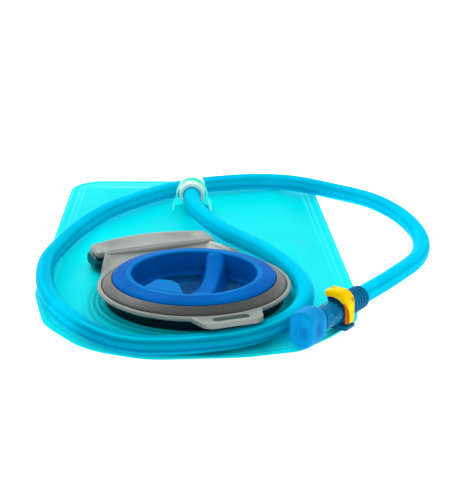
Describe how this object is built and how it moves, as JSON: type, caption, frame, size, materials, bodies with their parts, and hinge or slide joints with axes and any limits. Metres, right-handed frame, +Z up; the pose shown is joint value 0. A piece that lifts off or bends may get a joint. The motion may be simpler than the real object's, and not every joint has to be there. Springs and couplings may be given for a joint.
{
  "type": "hydration bladder",
  "caption": "Flat soft water bag with a screw-capped fill port, carry handle, drinking hose, shut-off lever and bite valve.",
  "frame": {"origin": "middle of the bag's underside, on the surface that it lies on", "axes": "+Y along the bag towards the end where the hose leaves it, the fill port at the -Y end, +Z up"},
  "size_m": [0.2246, 0.3038, 0.0252],
  "materials": {
    "bag_film": "clear blue-green soft film",
    "weld_flange": "soft translucent moulding",
    "neck_plastic": "dark smooth moulding",
    "collar_plastic": "warm grey fine satin moulding",
    "grip_rubber": "soft dark overmould",
    "ring_plastic": "charcoal, fine sand texture",
    "cap_plastic": "translucent blue moulding",
    "seal_rubber": "smooth seal rubber",
    "port_plastic": "clear green moulding",
    "connector_plastic": "milky white moulding",
    "elbow_plastic": "pale translucent moulding",
    "hose_plastic": "clear blue flexible tube",
    "relief_rubber": "ribbed soft rubber",
    "valve_plastic": "dark blue moulding",
    "rotor_plastic": "hard pale moulding",
    "lever_plastic": "yellow moulding",
    "pin_steel": "plain steel pin",
    "stem_plastic": "translucent blue moulding",
    "bite_silicone": "soft blue silicone"
  },
  "bodies": {
    "root": {"bag_back_film": "bag_film", "bag_front_film": "bag_film", "port_weld_flange": "weld_flange", "port_neck": "neck_plastic", "handle_collar": "collar_plastic", "handle_grip_pad": "grip_rubber", "port_top_ring": "ring_plastic", "exit_port_base": "port_plastic", "exit_elbow": "elbow_plastic", "elbow_o_ring": "seal_rubber", "connector_sleeve": "connector_plastic", "hose": "hose_plastic", "strain_relief": "relief_rubber", "valve_barb": "rotor_plastic", "valve_body": "valve_plastic"},
    "cap_carriage": {"cap_gasket": "seal_rubber"},
    "cap": {"fill_cap": "cap_plastic"},
    "lever": {"shutoff_lever": "lever_plastic", "lever_pin": "pin_steel", "valve_rotor": "rotor_plastic", "rotor_o_ring": "seal_rubber"},
    "stem": {"valve_stem": "stem_plastic", "stem_o_ring": "seal_rubber"},
    "mouthpiece": {"bite_valve": "bite_silicone"}
  },
  "joints": [
    {"name": "cap_lift", "type": "slide", "parent": "root", "child": "cap_carriage", "axis": [0, 0, 1], "range_m": [0, 0.015]},
    {"name": "cap_turn", "type": "hinge", "parent": "cap_carriage", "child": "cap", "pos_m": [-0.0005, -0.0847, 0.0173], "axis": [0, 0, 1], "range_deg": [0, 450]},
    {"name": "lever_turn", "type": "hinge", "parent": "root", "child": "lever", "pos_m": [0.0741, -0.1122, 0.0124], "axis": [-0.5548, -0.832, 0], "range_deg": [0, 90]},
    {"name": "stem_swivel", "type": "hinge", "parent": "root", "child": "stem", "pos_m": [0.0741, -0.1122, 0.0124], "axis": [-0.5548, -0.832, 0], "range_deg": [-180, 180]},
    {"name": "mouthpiece_pull", "type": "slide", "parent": "stem", "child": "mouthpiece", "axis": [-0.5548, -0.832, 0], "range_m": [0, 0.012]}
  ],
  "couplings": [
    {"joint": "cap_lift", "follows": "cap_turn", "m_per_rad": 0.0019098}
  ]
}
